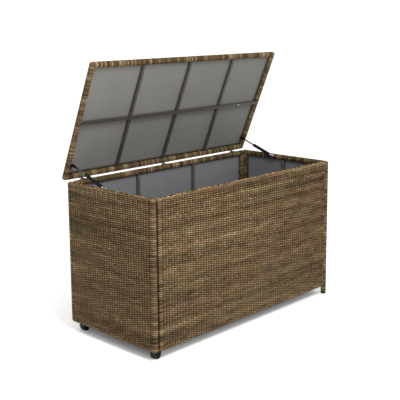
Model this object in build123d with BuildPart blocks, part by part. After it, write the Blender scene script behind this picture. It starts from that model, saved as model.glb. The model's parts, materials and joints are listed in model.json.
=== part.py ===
"""Woven outdoor storage box: four wrapped panels, a gas-strut lid, two castors and two legs.

Millimetres, +Z up, +X to the right, the front faces -Y. The origin is on the floor, under the middle of
the bounding box with the lid standing open, which is the rest pose. Each panel is a welded tube frame
whose rim is wrapped in strand, with a woven skin outside, a liner behind it and square uprights inside.
"""

import os
from math import atan2, cos, degrees, hypot, radians, sin

from build123d import *

# Driving dimensions of the body
body_width = 1645.0
body_depth = 760.0
body_top = 940.0  # top of the wrapped top rails above the floor
ground_gap = 56.0  # floor to the underside of the panels

# Wrapped rim tubes
wrap_r = 18.0  # outside of the strand wound round a tube
tube_r = 16.0
tube_bore_r = 14.5
wrap_bore_r = tube_r + 0.05
entry_r = tube_r + 0.4  # where a rail passes through a post's wrapping
skin_gap = 0.1  # between separate solids of one panel
vent_r = 3.0  # weld vent in each closed tube
panel_gap = 0.5  # between a side panel and the panel that butts against it

# Skin, liner and uprights, measured from a panel's middle plane outwards
skin_thickness = 5.0
liner_thickness = 2.0
layer_gap = 0.3
upright_width = 22.0
upright_depth = 16.0  # how far an upright stands off the liner
upright_wall = 1.5

# Lid, which overhangs the body equally all round
lid_width = 1655.0
lid_depth = 783.0
lid_closed_gap = 1.5  # lid rim above the body rim when shut
lid_angle = 67.0  # how far the lid stands open at rest
short_bar_count = 3
bar_width = 20.0
short_bar_height = 16.0
long_bar_height = 13.0
bar_wall = 1.5
bar_screw_x = 596.0  # the screw through the long bar, right of the lid's middle

# Hinges: the axis stands behind and just below the top of the back wall
hinge_behind = 10.8
hinge_below = 6.5
hinge_offset_x = 690.0
hinge_width = 40.0
knuckle_r = 5.5
pin_r = 2.5
running_gap = 0.05
knuckle_gap = 0.3
strap_thickness = 1.5
strap_gap = 0.15
web_thickness = 3.0
screw_r = 2.0
screw_head_r = 3.6
screw_head_height = 1.6
screw_length = 8.0
body_strap_angles = (-3.0, 122.0)  # round the wrapped rail, from straight behind it
lid_strap_angles = (-64.0, 32.0)
body_screw_angle = 108.0
lid_screw_angle = 15.0
pin_head_r = 4.0
pin_head_height = 1.7

# Gas struts
strut_inset = 49.0  # strut line in from the outside of the side walls
strut_foot_forward = 302.0  # lower pivot in front of the back face
strut_foot_below = 13.0  # lower pivot below the top of the walls
lid_pivot_y = -98.7  # upper pivot from the hinge axis, lid shut
lid_pivot_z = 16.0
cylinder_r = 11.0
cylinder_bore_r = 9.6
cylinder_start = 28.0
cylinder_length = 156.0
cylinder_base = 3.0
gland_length = 4.0
rod_r = 5.0
rod_start = 172.0
piston_r = 9.5
piston_length = 8.0
rod_end_length = 24.0  # rod end fitting, from its socket's middle
socket_r = 8.5
socket_width = 15.0
stud_r = 3.5
stud_clearance = 0.3
bracket_thickness = 3.0
bracket_length = 36.0
bracket_height = 22.0
lid_bracket_drop = 4.0  # keeps the lid bracket clear of the liner

# Base
base_inset = 38.5  # outside of the base frame from the outside of the walls
base_side = 25.0
base_wall = 1.6
base_bottom = 62.0
castor_rail_width = 110.0
cross_tube_x = (-243.0, 243.0, 771.5)
board_thickness = 5.0

# Castors
castor_inset_x = 82.0
castor_inset_y = 60.0
castor_trail = 22.0
wheel_r = 24.0
wheel_width = 16.5
wheel_offset = 3.6
castor_plate_side = 42.0
castor_plate_thickness = 3.0
castor_screw_spacing = 30.0
castor_screw_length = 6.0
stem_r = 4.0
axle_r = 3.0
axle_length = 41.0
axle_cap_thickness = 1.0
tread_depth = 5.0
hub_r = 7.0
swivel_gap = 0.6  # plate to housing boss
boss_bottom = 45.5
hood_r = wheel_r + 3.2
hood_bore = wheel_r + 0.9
hood_half = 22.0  # half the hood's width over the two wheels
web_width = 6.0
web_floor = 4.0

# Feet
foot_height = 20.0
foot_r = 17.5
foot_floor = 4.0

# Bolts
bolt_r = 3.0
bolt_head_r = 6.0
bolt_head_height = 3.6
corner_bolt_length = 50.4  # through both corner posts
corner_bolt_heights = (200.0, 500.0, 800.0)
base_bolt_length = 44.0  # from inside the base frame into the bottom rail
base_bolt_x = (-600.0, -150.0, 150.0, 600.0)

# Derived places
open_angle = radians(lid_angle)
lid_overhang_y = (lid_depth - body_depth) / 2
closed_rail_y = lid_overhang_y - wrap_r - hinge_behind
closed_rail_z = lid_closed_gap + wrap_r + hinge_below
lid_reach_back = hinge_behind + closed_rail_y * cos(open_angle) + closed_rail_z * sin(open_angle) + wrap_r
mid_y = -lid_reach_back / 2  # the body's middle, so that the open lid centres the bounding box
front_y = mid_y - body_depth / 2
back_y = mid_y + body_depth / 2
half_width = body_width / 2
panel_height = body_top - ground_gap
butt_width = body_width - 4 * wrap_r - 2 * panel_gap
hinge_y = back_y + hinge_behind
hinge_z = body_top - hinge_below
strut_x = half_width - strut_inset
foot_pivot_y = back_y - strut_foot_forward
foot_pivot_z = body_top - strut_foot_below
head_pivot_y = hinge_y + lid_pivot_y * cos(open_angle) + lid_pivot_z * sin(open_angle)
head_pivot_z = hinge_z - lid_pivot_y * sin(open_angle) + lid_pivot_z * cos(open_angle)
strut_length = hypot(head_pivot_y - foot_pivot_y, head_pivot_z - foot_pivot_z)
strut_slope = atan2(head_pivot_z - foot_pivot_z, head_pivot_y - foot_pivot_y)

skin_inner = wrap_r - skin_thickness
liner_outer = skin_inner - layer_gap
liner_inner = liner_outer - liner_thickness
bar_outer = liner_inner - layer_gap

# Panel planes: x along the panel, y up it from its lower edge, z outwards from the tube centres
front_plane = Plane(origin=(0, front_y + wrap_r, ground_gap), x_dir=(1, 0, 0), z_dir=(0, -1, 0))
back_plane = Plane(origin=(0, back_y - wrap_r, ground_gap), x_dir=(-1, 0, 0), z_dir=(0, 1, 0))
left_plane = Plane(origin=(wrap_r - half_width, mid_y, ground_gap), x_dir=(0, -1, 0), z_dir=(-1, 0, 0))
right_plane = Plane(origin=(half_width - wrap_r, mid_y, ground_gap), x_dir=(0, 1, 0), z_dir=(1, 0, 0))
# The lid's frame when shut has its origin on the hinge axis; the plane is that frame turned open
lid_axes = Plane(
    origin=(0, hinge_y, hinge_z),
    x_dir=(1, 0, 0),
    z_dir=(0, sin(open_angle), cos(open_angle)),
)
lid_front_edge = closed_rail_y + wrap_r - lid_depth
lid_plane = Plane(
    origin=lid_axes.from_local_coords(Vector(0, lid_front_edge, closed_rail_z)),
    x_dir=lid_axes.x_dir,
    z_dir=lid_axes.z_dir,
)


def write(part, name):
    """Label a finished piece and write it as its own node."""
    part.label = name
    export_step(part, f"parts/{name}.step")


def capsule(radius, low, high, domed_low, domed_high):
    """A rod along local Y with rounded or flat ends, as a private solid."""
    start = low + wrap_r if domed_low else low
    end = high - wrap_r if domed_high else high
    with BuildPart() as rod:
        with BuildSketch(Plane.XY):
            with Locations((0, (start + end) / 2)):
                Rectangle(2 * radius, end - start)
            for is_domed, place in ((domed_low, start), (domed_high, end)):
                if is_domed:
                    with Locations((0, place)):
                        Circle(radius)
            with Locations((-radius, (start + end) / 2)):
                Rectangle(2 * radius, 2 * (end - start), mode=Mode.SUBTRACT)
        revolve(axis=Axis.Y)
    return rod.part


def cross_rod(radius, length, height):
    """A rod along local X at a height on the panel, as a private solid."""
    with BuildPart() as rod:
        with Locations((0, height, 0)):
            Cylinder(radius, length, rotation=(0, 90, 0))
    return rod.part


def post_tube(side, width, height, low, domed_low):
    """One upright rim tube with its vent, in panel coordinates."""
    post_x = side * (width / 2 - wrap_r)
    with BuildPart() as post:
        with Locations((post_x, 0, 0)):
            add(capsule(tube_r, low, height, domed_low, True))
            add(capsule(tube_bore_r, low, height, domed_low, True), mode=Mode.SUBTRACT)
        with Locations((post_x - side * tube_r, height / 2, 0)):
            Cylinder(vent_r, tube_r, rotation=(0, 90, 0), mode=Mode.SUBTRACT)
    return post.part


def rail_tube(rail_y, width):
    """One rim tube between the posts, its ends coped to fit round them."""
    span = width - 2 * wrap_r
    with BuildPart() as rail:
        add(cross_rod(tube_r, span, rail_y))
        add(cross_rod(tube_bore_r, span + 2, rail_y), mode=Mode.SUBTRACT)
        with Locations((-span / 2, rail_y, 0), (span / 2, rail_y, 0)):
            Cylinder(tube_r + skin_gap, 4 * wrap_r, rotation=(90, 0, 0), mode=Mode.SUBTRACT)
    return rail.part


def upright_tube(upright_x, height):
    """One rectangular tube from the lower to the upper rail, coped round their wrapping."""
    with BuildPart() as upright:
        with Locations((upright_x, height / 2, bar_outer - upright_depth / 2)):
            Box(upright_width, height - 2 * wrap_r, upright_depth)
            inside = upright_depth - 2 * upright_wall
            Box(upright_width - 2 * upright_wall, height, inside, mode=Mode.SUBTRACT)
        for rail_y in (wrap_r, height - wrap_r):
            with Locations((upright_x, rail_y, 0)):
                reach = 2 * upright_width
                Cylinder(wrap_r + skin_gap, reach, rotation=(0, 90, 0), mode=Mode.SUBTRACT)
    return upright.part


def panel_frame(plane, width, height, uprights, low=0.0, domed_low=True):
    """A welded frame as its separate tubes: two posts, two rails and the uprights."""
    pieces = [post_tube(side, width, height, low, domed_low) for side in (-1, 1)]
    pieces += [rail_tube(rail_y, width) for rail_y in (wrap_r, height - wrap_r)]
    pieces += [upright_tube(upright_x, height) for upright_x in uprights]
    return Compound(children=[plane.from_local_coords(piece) for piece in pieces])


def wrapped_post(side, width, height, low, domed_low):
    """The strand wound round one post, open where the rails enter it."""
    post_x = side * (width / 2 - wrap_r)
    tube_low = low - wrap_r if not domed_low else low
    with BuildPart() as wrapping:
        with Locations((post_x, 0, 0)):
            add(capsule(wrap_r, low, height, domed_low, True))
            add(capsule(wrap_bore_r, tube_low, height, domed_low, True), mode=Mode.SUBTRACT)
        for rail_y in (wrap_r, height - wrap_r):
            with Locations((post_x - side * wrap_r, rail_y, 0)):
                Cylinder(entry_r, 2 * wrap_r, rotation=(0, 90, 0), mode=Mode.SUBTRACT)
    return wrapping.part


def wrapped_rail(rail_y, width):
    """The strand wound round one rail, between the two wrapped posts."""
    span = width - 2 * wrap_r
    with BuildPart() as wrapping:
        add(cross_rod(wrap_r, span, rail_y))
        add(cross_rod(wrap_bore_r, span + 2, rail_y), mode=Mode.SUBTRACT)
        with Locations((-span / 2, rail_y, 0), (span / 2, rail_y, 0)):
            Cylinder(wrap_r + skin_gap, 4 * wrap_r, rotation=(90, 0, 0), mode=Mode.SUBTRACT)
    return wrapping.part


def skin_slab(width, height):
    """The woven field between the wrapped tubes, flush with their outer side."""
    span = width - 2 * wrap_r
    rise = height - 2 * wrap_r
    with BuildPart() as slab:
        with Locations((0, height / 2, wrap_r - skin_thickness / 2)):
            Box(span, rise, skin_thickness)
        with Locations((-span / 2, height / 2, 0), (span / 2, height / 2, 0)):
            Cylinder(wrap_r + skin_gap, height, rotation=(90, 0, 0), mode=Mode.SUBTRACT)
        with Locations((0, wrap_r, 0), (0, height - wrap_r, 0)):
            Cylinder(wrap_r + skin_gap, width, rotation=(0, 90, 0), mode=Mode.SUBTRACT)
    return slab.part


def panel_weave(plane, width, height, low=0.0, domed_low=True):
    """The woven skin and the four wrapped rim tubes, as separate solids."""
    pieces = [skin_slab(width, height)]
    pieces += [wrapped_post(side, width, height, low, domed_low) for side in (-1, 1)]
    pieces += [wrapped_rail(rail_y, width) for rail_y in (wrap_r, height - wrap_r)]
    return Compound(children=[plane.from_local_coords(piece) for piece in pieces])


def panel_liner(plane, width, height):
    """The grey liner board that lies against the inside of the skin."""
    edge = wrap_r + (wrap_r**2 - liner_inner**2) ** 0.5 + skin_gap
    with BuildPart(plane) as liner:
        with Locations((0, height / 2, liner_outer - liner_thickness / 2)):
            Box(width - 2 * edge, height - 2 * edge, liner_thickness)
    return liner.part


def make_walls():
    """The four wall panels; the right one's posts run down as legs."""
    third = (butt_width - 2 * wrap_r) / 6
    leg_end = foot_floor - ground_gap
    leg_wrap_end = foot_height + 0.5 - ground_gap
    walls = {
        "front": (front_plane, butt_width, (-third, third)),
        "back": (back_plane, butt_width, (-third, third)),
        "left": (left_plane, body_depth, (0.0,)),
        "right": (right_plane, body_depth, (0.0,)),
    }
    for name, (plane, width, uprights) in walls.items():
        has_legs = name == "right"
        frame_low = leg_end if has_legs else 0.0
        wrap_low = leg_wrap_end if has_legs else 0.0
        frame = panel_frame(plane, width, panel_height, uprights, frame_low, not has_legs)
        weave = panel_weave(plane, width, panel_height, wrap_low, not has_legs)
        write(frame, f"{name}_frame")
        write(weave, f"{name}_weave")
        write(panel_liner(plane, width, panel_height), f"{name}_liner")


def make_feet():
    """Rounded plastic cups on the ends of the two legs."""
    for name, side in (("right_front_foot", -1), ("right_rear_foot", 1)):
        foot_y = mid_y + side * (body_depth / 2 - wrap_r)
        with BuildPart() as foot:
            with Locations((half_width - wrap_r, foot_y, foot_height / 2)):
                Cylinder(foot_r, foot_height)
            fillet(foot.edges().filter_by(GeomType.CIRCLE).sort_by(Axis.Z)[0], radius=5)
            with Locations((half_width - wrap_r, foot_y, foot_floor + foot_height / 2)):
                Cylinder(wrap_bore_r, foot_height, mode=Mode.SUBTRACT)
        write(foot.part, name)


def square_tube(length, width, height, wall, rotation):
    """A rectangular tube along local X, open at its ends."""
    with BuildPart() as tube:
        Box(length, width, height)
        Box(length, width - 2 * wall, height - 2 * wall, mode=Mode.SUBTRACT)
    return Rot(0, 0, rotation) * tube.part


def make_base():
    """The base frame of loose-fitted tubes, and the board that lies on it."""
    base_z = base_bottom + base_side / 2
    long_length = body_width - 2 * base_inset
    rail_offset = body_depth / 2 - base_inset - base_side / 2
    cross_length = 2 * (rail_offset - base_side / 2 - skin_gap)
    castor_rail_x = castor_rail_width / 2 - long_length / 2
    tubes = []
    for side in (-1, 1):
        tube = square_tube(long_length, base_side, base_side, base_wall, 0)
        tubes.append(Pos(0, mid_y + side * rail_offset, base_z) * tube)
    castor_rail = square_tube(cross_length, castor_rail_width, base_side, base_wall, 90)
    tubes.append(Pos(castor_rail_x, mid_y, base_z) * castor_rail)
    for cross_x in cross_tube_x:
        tube = square_tube(cross_length, base_side, base_side, base_wall, 90)
        tubes.append(Pos(cross_x, mid_y, base_z) * tube)
    write(Compound(children=tubes), "base_frame")
    with BuildPart() as board:
        with Locations((0, mid_y, base_bottom + base_side + board_thickness / 2)):
            Box(long_length, body_depth - 2 * base_inset, board_thickness)
    write(board.part, "base_board")


def bolt(length, head_r, head_height, shank_r):
    """A button-head bolt along +X from the underside of its head at the origin."""
    with BuildPart() as screw:
        with Locations((length / 2, 0, 0)):
            Cylinder(shank_r, length, rotation=(0, 90, 0))
        with Locations((-head_height / 2, 0, 0)):
            Cylinder(head_r, head_height, rotation=(0, 90, 0))
        fillet(screw.edges().filter_by(GeomType.CIRCLE).sort_by(Axis.X)[0], radius=head_height / 2)
    return screw.part


def make_panel_bolts():
    """Bolts through the paired corner posts, and through the base rails into the walls."""
    bolts = []
    post_y = body_depth / 2 - wrap_r
    head_x = half_width - 4 * wrap_r - panel_gap
    for side_x in (-1, 1):
        turn = Rot(0, 0, 0 if side_x > 0 else 180)
        for side_y in (-1, 1):
            for height in corner_bolt_heights:
                corner = bolt(corner_bolt_length, bolt_head_r, bolt_head_height, bolt_r)
                bolts.append(Pos(side_x * head_x, mid_y + side_y * post_y, height) * turn * corner)
    rail_face = body_depth / 2 - base_inset - base_side
    for side_y in (-1, 1):
        turn = Rot(0, 0, 90 * side_y)
        for bolt_x in base_bolt_x:
            base_bolt = bolt(base_bolt_length, bolt_head_r, bolt_head_height, bolt_r)
            place = Pos(bolt_x, mid_y + side_y * rail_face, base_bottom + base_side / 2)
            bolts.append(place * turn * base_bolt)
    write(Compound(children=bolts), "panel_bolts")


def make_lid():
    """The lid's frame, skin, liner and the bars that back its liner."""
    write(panel_frame(lid_plane, lid_width, lid_depth, ()), "lid_frame")
    write(panel_weave(lid_plane, lid_width, lid_depth), "lid_weave")
    write(panel_liner(lid_plane, lid_width, lid_depth), "lid_liner")
    bar_gap = lid_width / (short_bar_count + 1) - wrap_r / 2
    bars = []
    for index in range(short_bar_count):
        bar_x = (index - (short_bar_count - 1) / 2) * bar_gap
        with BuildPart() as bar:
            with Locations((bar_x, lid_depth / 2, bar_outer - short_bar_height / 2)):
                Box(bar_width, lid_depth - 2 * wrap_r, short_bar_height)
                inside = short_bar_height - 2 * bar_wall
                Box(bar_width - 2 * bar_wall, lid_depth, inside, mode=Mode.SUBTRACT)
            for rail_y in (wrap_r, lid_depth - wrap_r):
                with Locations((bar_x, rail_y, 0)):
                    reach = 2 * bar_width
                    Cylinder(wrap_r + skin_gap, reach, rotation=(0, 90, 0), mode=Mode.SUBTRACT)
        bars.append(lid_plane.from_local_coords(bar.part))
    write(Compound(children=bars), "lid_short_bars")
    long_bar_z = bar_outer - short_bar_height - skin_gap - long_bar_height / 2
    span = lid_width - 2 * wrap_r
    with BuildPart(lid_plane) as long_bar:
        with Locations((0, lid_depth / 2, long_bar_z)):
            Box(span, bar_width, long_bar_height)
            inside = long_bar_height - 2 * bar_wall
            Box(span, bar_width - 2 * bar_wall, inside, mode=Mode.SUBTRACT)
        with Locations((-span / 2, lid_depth / 2, 0), (span / 2, lid_depth / 2, 0)):
            reach = 2 * bar_width
            Cylinder(wrap_r + skin_gap, reach, rotation=(90, 0, 0), mode=Mode.SUBTRACT)
    write(long_bar.part, "lid_long_bar")


def hinge_leaf(plane, rail_centre, strap_angles, knuckles, screw_angle):
    """A strap curved round a wrapped rail, with a web and knuckles round the hinge axis.

    The plane has the hinge axis as its z and the rail's centre at rail_centre.
    """
    centre_y, centre_z = rail_centre
    inner_r = wrap_r + strap_gap
    outer_r = inner_r + strap_thickness
    first_angle, last_angle = strap_angles
    reach = hypot(centre_y, centre_z)
    to_axis = degrees(atan2(-centre_z, -centre_y))
    web_start = inner_r + strap_thickness / 2
    web_length = reach - web_start
    web_middle = (web_start + web_length / 2) / reach
    with BuildPart() as leaf:
        with BuildSketch(plane.offset(-hinge_width / 2)):
            with BuildLine():
                outer = CenterArc(rail_centre, outer_r, first_angle, last_angle - first_angle)
                inner = CenterArc(rail_centre, inner_r, first_angle, last_angle - first_angle)
                Line(outer @ 0, inner @ 0)
                Line(outer @ 1, inner @ 1)
            make_face()
        extrude(amount=hinge_width)
        for start, length in knuckles:
            with BuildSketch(plane.offset(start)):
                with Locations((centre_y * (1 - web_middle), centre_z * (1 - web_middle))):
                    Rectangle(web_length, web_thickness, rotation=to_axis)
                Circle(knuckle_r)
                Circle(pin_r + running_gap, mode=Mode.SUBTRACT)
            extrude(amount=length)
        for place in leaf_screw_places(plane, rail_centre, screw_angle):
            with BuildSketch(place):
                Circle(screw_r + running_gap)
            extrude(amount=4 * strap_thickness, both=True, mode=Mode.SUBTRACT)
    return leaf.part


def leaf_screw_places(plane, rail_centre, screw_angle):
    """The two screw seats of a leaf, as planes whose z points out of the strap."""
    seat_r = wrap_r + strap_gap + strap_thickness
    turn = radians(screw_angle)
    seats = []
    for along in (-hinge_width / 4, hinge_width / 4):
        local = Vector(
            rail_centre[0] + seat_r * cos(turn),
            rail_centre[1] + seat_r * sin(turn),
            along,
        )
        normal = plane.x_dir * cos(turn) + plane.y_dir * sin(turn)
        seats.append(Plane(plane.from_local_coords(local), x_dir=plane.z_dir, z_dir=normal))
    return seats


def seated_screw(place, length):
    """A pan-head screw whose head sits on a place and whose shank goes down through it."""
    with BuildPart() as screw:
        with BuildSketch(place.offset(-length)):
            Circle(screw_r)
        extrude(amount=length)
        with BuildSketch(place):
            Circle(screw_head_r)
        extrude(amount=screw_head_height)
        head_edges = screw.edges().filter_by(GeomType.CIRCLE).group_by(SortBy.RADIUS)[-1]
        top_edge = max(head_edges, key=lambda edge: place.to_local_coords(edge.center()).Z)
        fillet(top_edge, radius=screw_head_height / 2)
    return screw.part


def make_hinges():
    """Three strap hinges, their pins, and the seats of their screws."""
    body_rail = (-hinge_behind - wrap_r, hinge_below - wrap_r)
    lid_rail = (closed_rail_y, closed_rail_z)
    knuckle = (hinge_width - 2 * knuckle_gap) / 4
    outer_knuckles = ((-hinge_width / 2, knuckle), (hinge_width / 2 - knuckle, knuckle))
    lid_knuckles = ((-knuckle, 2 * knuckle),)
    pins = []
    body_seats = []
    lid_seats = []
    for name, hinge_x in (("left", -hinge_offset_x), ("middle", 0.0), ("right", hinge_offset_x)):
        origin = (hinge_x, hinge_y, hinge_z)
        body_side = Plane(origin=origin, x_dir=(0, 1, 0), z_dir=(1, 0, 0))
        lid_side = Plane(origin=origin, x_dir=lid_axes.y_dir, z_dir=(1, 0, 0))
        body_leaf = hinge_leaf(
            body_side, body_rail, body_strap_angles, outer_knuckles, body_screw_angle
        )
        lid_leaf = hinge_leaf(lid_side, lid_rail, lid_strap_angles, lid_knuckles, lid_screw_angle)
        write(body_leaf, f"{name}_hinge_body_leaf")
        write(lid_leaf, f"{name}_hinge_lid_leaf")
        body_seats += leaf_screw_places(body_side, body_rail, body_screw_angle)
        lid_seats += leaf_screw_places(lid_side, lid_rail, lid_screw_angle)
        with BuildPart() as pin:
            with BuildSketch(body_side.offset(-hinge_width / 2 - 1)):
                Circle(pin_r)
            extrude(amount=hinge_width + 2)
            head_start = hinge_width / 2 + knuckle_gap
            for start in (-head_start - pin_head_height, head_start):
                with BuildSketch(body_side.offset(start)):
                    Circle(pin_head_r)
                extrude(amount=pin_head_height)
        pins.append(pin.part)
    write(Compound(children=pins), "hinge_pins")
    return body_seats, lid_seats


def bracket(plane, rail_x, rail_z, plate_z, side, stud_end, has_clip):
    """A strut bracket that hugs a wrapped side rail, with a stud towards the inside.

    The plane has its origin on the strut line, x to the right, y along the rail and z up.
    rail_x and rail_z give the rail's centre, plate_z the middle of the bracket's plate, and
    side is 1 on the right and -1 on the left.
    """
    back_x = rail_x - side * wrap_r / 2
    face_x = rail_x - side * (wrap_r + strap_gap + bracket_thickness)
    with BuildPart(plane) as piece:
        with Locations(((back_x + face_x) / 2, 0, plate_z)):
            Box(abs(back_x - face_x), bracket_length, bracket_height)
        with Locations((rail_x, 0, rail_z)):
            Cylinder(
                wrap_r + strap_gap, 2 * bracket_length, rotation=(90, 0, 0), mode=Mode.SUBTRACT
            )
        with Locations(((face_x + stud_end) / 2, 0, 0)):
            Cylinder(stud_r, abs(face_x - stud_end), rotation=(0, 90, 0))
        if has_clip:
            with Locations((stud_end + side * 0.5, 0, 0)):
                Cylinder(stud_r + 1, 1.0, rotation=(0, 90, 0))
        for screw_y in (-bracket_length / 3, bracket_length / 3):
            with Locations((face_x, screw_y, plate_z)):
                reach = 4 * bracket_thickness
                Cylinder(screw_r + running_gap, reach, rotation=(0, 90, 0), mode=Mode.SUBTRACT)
    return piece.part


def bracket_seats(plane, rail_x, plate_z, side):
    """The two screw seats on a bracket's face."""
    face_x = rail_x - side * (wrap_r + strap_gap + bracket_thickness)
    seats = []
    for screw_y in (-bracket_length / 3, bracket_length / 3):
        local = Vector(face_x, screw_y, plate_z)
        origin = plane.from_local_coords(local)
        seats.append(Plane(origin, x_dir=plane.y_dir, z_dir=plane.x_dir * -side))
    return seats


def make_struts():
    """Two gas struts between studs on the side walls' top rails and on the lid's side rails."""
    body_seats = []
    lid_seats = []
    half_socket = socket_width / 2
    for name, side in (("left", -1), ("right", 1)):
        foot = Plane(
            origin=(side * strut_x, foot_pivot_y, foot_pivot_z),
            x_dir=(1, 0, 0),
            z_dir=(0, 0, 1),
        )
        head = Plane(
            origin=(side * strut_x, head_pivot_y, head_pivot_z),
            x_dir=(1, 0, 0),
            z_dir=lid_axes.z_dir,
        )
        wall_rail_x = side * (strut_inset - wrap_r)
        wall_rail_z = strut_foot_below - wrap_r
        lid_rail_x = side * (lid_width / 2 - wrap_r - strut_x)
        lid_rail_z = closed_rail_z - lid_pivot_z
        lid_plate_z = lid_rail_z - lid_bracket_drop
        foot_stud_end = -side * (half_socket + stud_clearance + 1)
        head_stud_end = side * half_socket
        body_bracket = bracket(
            foot, wall_rail_x, wall_rail_z, wall_rail_z, side, foot_stud_end, True
        )
        lid_bracket = bracket(head, lid_rail_x, lid_rail_z, lid_plate_z, side, head_stud_end, False)
        write(body_bracket, f"{name}_strut_body_bracket")
        write(lid_bracket, f"{name}_strut_lid_bracket")
        body_seats += bracket_seats(foot, wall_rail_x, wall_rail_z, side)
        lid_seats += bracket_seats(head, lid_rail_x, lid_plate_z, side)
        make_strut(name, side)
    return body_seats, lid_seats


def make_strut(name, side):
    """One strut: its z runs from the lower pivot to the upper one."""
    line = Plane(
        origin=(side * strut_x, foot_pivot_y, foot_pivot_z),
        x_dir=(1, 0, 0),
        z_dir=(0, cos(strut_slope), sin(strut_slope)),
    )
    cylinder_end = cylinder_start + cylinder_length
    rod_end = strut_length - rod_end_length / 2
    with BuildPart() as cylinder:
        with BuildSketch(line.offset(cylinder_start)):
            Circle(cylinder_r)
        extrude(amount=cylinder_length)
        fillet(cylinder.edges().filter_by(GeomType.CIRCLE), radius=1.2)
        with BuildSketch(line.offset(cylinder_start + cylinder_base)):
            Circle(cylinder_bore_r)
        extrude(amount=cylinder_length - cylinder_base - gland_length, mode=Mode.SUBTRACT)
        with BuildSketch(line.offset(cylinder_end - gland_length)):
            Circle(rod_r + running_gap)
        extrude(amount=gland_length, mode=Mode.SUBTRACT)
    write(cylinder.part, f"{name}_strut_cylinder")
    with BuildPart(line) as foot_fitting:
        Cylinder(socket_r, socket_width, rotation=(0, 90, 0))
        with Locations((0, 0, cylinder_start / 2)):
            Cylinder(socket_r - 1.5, cylinder_start)
        bore = stud_r + running_gap
        Cylinder(bore, 2 * socket_width, rotation=(0, 90, 0), mode=Mode.SUBTRACT)
    write(foot_fitting.part, f"{name}_strut_foot_fitting")
    with BuildPart() as rod:
        with BuildSketch(line.offset(rod_start)):
            Circle(rod_r)
        extrude(amount=rod_end - rod_start)
        with BuildSketch(line.offset(rod_start)):
            Circle(piston_r)
        extrude(amount=piston_length)
    write(rod.part, f"{name}_strut_rod")
    socket_open = socket_width - 2 * stud_clearance
    with BuildPart(line) as rod_fitting:
        with Locations((-side * stud_clearance, 0, strut_length)):
            Cylinder(socket_r, socket_open, rotation=(0, 90, 0))
        with Locations((0, 0, strut_length - rod_end_length / 2)):
            Cylinder(socket_r - 2, rod_end_length)
        with Locations((0, 0, rod_end - rod_end_length / 2)):
            Cylinder(rod_r, rod_end_length, mode=Mode.SUBTRACT)
    write(rod_fitting.part, f"{name}_strut_rod_fitting")


def make_screws(body_seats, lid_seats):
    """The screws of the hinge leaves and strut brackets, one group for each side."""
    body_screws = [seated_screw(seat, screw_length) for seat in body_seats]
    write(Compound(children=body_screws), "body_screws")
    lid_screws = [seated_screw(seat, screw_length) for seat in lid_seats]
    long_bar_face = bar_outer - short_bar_height - skin_gap - long_bar_height
    spot = lid_plane.from_local_coords(Vector(bar_screw_x, lid_depth / 2, long_bar_face))
    bar_seat = Plane(spot, x_dir=(1, 0, 0), z_dir=-lid_plane.z_dir)
    lid_screws.append(seated_screw(bar_seat, screw_length))
    write(Compound(children=lid_screws), "lid_screws")


def wheel(inner_y, outward, axle_x):
    """One castor wheel: a dished disc with a rounded tread, turned about its axle."""
    dish = wheel_width * 0.35
    section = Plane(
        origin=(axle_x, inner_y, wheel_r), x_dir=(0, outward, 0), z_dir=(outward, 0, 0)
    )
    with BuildPart() as disc:
        with BuildSketch(section):
            with BuildLine():
                Polyline(
                    (0, axle_r + running_gap),
                    (0, wheel_r),
                    (wheel_width, wheel_r),
                    (wheel_width, wheel_r - tread_depth),
                    (wheel_width - dish, wheel_r - tread_depth - 2),
                    (wheel_width - dish, hub_r + 1),
                    (wheel_width, hub_r),
                    (wheel_width, axle_r + running_gap),
                    close=True,
                )
            make_face()
        revolve(axis=Axis((axle_x, inner_y, wheel_r), (0, 1, 0)))
        rims = disc.edges().filter_by(GeomType.CIRCLE).group_by(SortBy.RADIUS)[-1]
        fillet(rims, radius=2.5)
    return disc.part


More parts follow.
